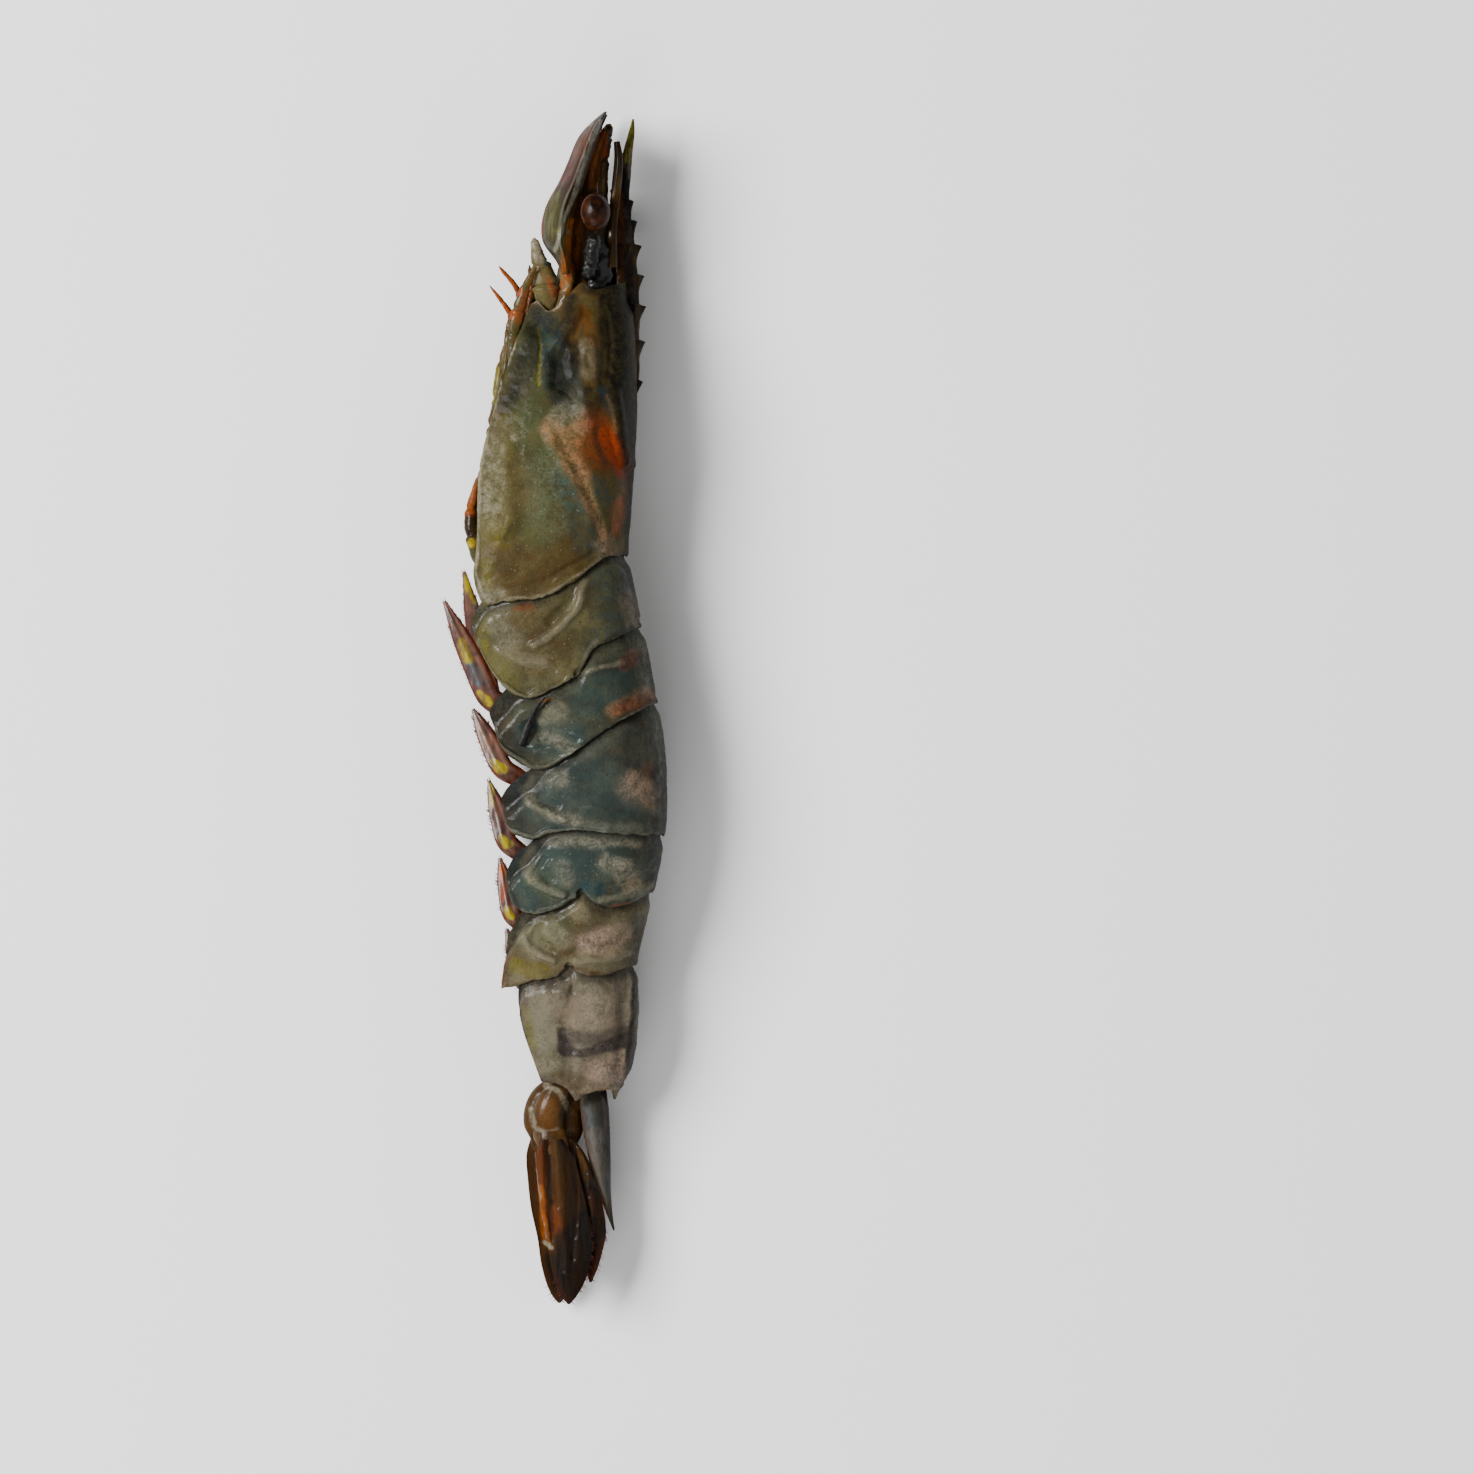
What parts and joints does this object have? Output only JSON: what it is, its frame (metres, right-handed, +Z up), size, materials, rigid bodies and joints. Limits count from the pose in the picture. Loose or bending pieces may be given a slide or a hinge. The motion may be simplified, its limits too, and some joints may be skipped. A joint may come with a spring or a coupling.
{
  "type": "raw tiger prawn",
  "caption": "Whole raw tiger prawn with head and shell on, lying on its side: toothed rostrum, overlapping tail plates, legs and swimming legs folded under, closed tail fan.",
  "frame": {"origin": "under the middle of the prawn's bounding box, on the surface it lies on", "axes": "+Y to the head, +X to its back, +Z up through its left side"},
  "size_m": [0.0381, 0.2026, 0.0237],
  "materials": {
    "flesh": "satin",
    "shell_head": "gloss",
    "shell": "gloss",
    "tail": "gloss",
    "eye": "gloss",
    "antenna": "gloss",
    "limb": "gloss",
    "swim_leg": "gloss",
    "fragment": "matte"
  },
  "bodies": {
    "root": {"flesh": "flesh", "carapace": "shell_head", "abdomen_segment_1": "shell", "abdomen_segment_2": "shell", "abdomen_segment_3": "shell", "abdomen_segment_4": "shell", "abdomen_segment_5": "shell", "abdomen_segment_6": "shell", "telson": "tail", "uropod_base_left": "tail", "uropod_base_right": "tail", "tail_fan_outer_left": "tail", "tail_fan_outer_right": "tail", "tail_fan_inner_left": "tail", "tail_fan_inner_right": "tail", "eye_left": "eye", "eye_right": "eye", "eye_stalk_left": "eye", "eye_stalk_right": "eye", "antennal_scale_left": "antenna", "antennal_scale_right": "antenna", "antennule_left": "antenna", "antennule_right": "antenna", "antenna_base_left": "antenna", "antenna_base_right": "antenna", "maxilliped_left": "limb", "maxilliped_right": "limb", "leg_1_left": "limb", "leg_1_right": "limb", "leg_2_left": "limb", "leg_2_right": "limb", "leg_3_left": "limb", "leg_3_right": "limb", "leg_4_left": "limb", "leg_4_right": "limb", "leg_5_left": "limb", "leg_5_right": "limb", "swim_leg_1_left": "swim_leg", "swim_leg_1_right": "swim_leg", "swim_leg_2_left": "swim_leg", "swim_leg_2_right": "swim_leg", "swim_leg_3_left": "swim_leg", "swim_leg_3_right": "swim_leg", "swim_leg_4_left": "swim_leg", "swim_leg_4_right": "swim_leg", "swim_leg_5_left": "swim_leg", "swim_leg_5_right": "swim_leg", "shell_fragment": "fragment"}
  },
  "joints": []
}
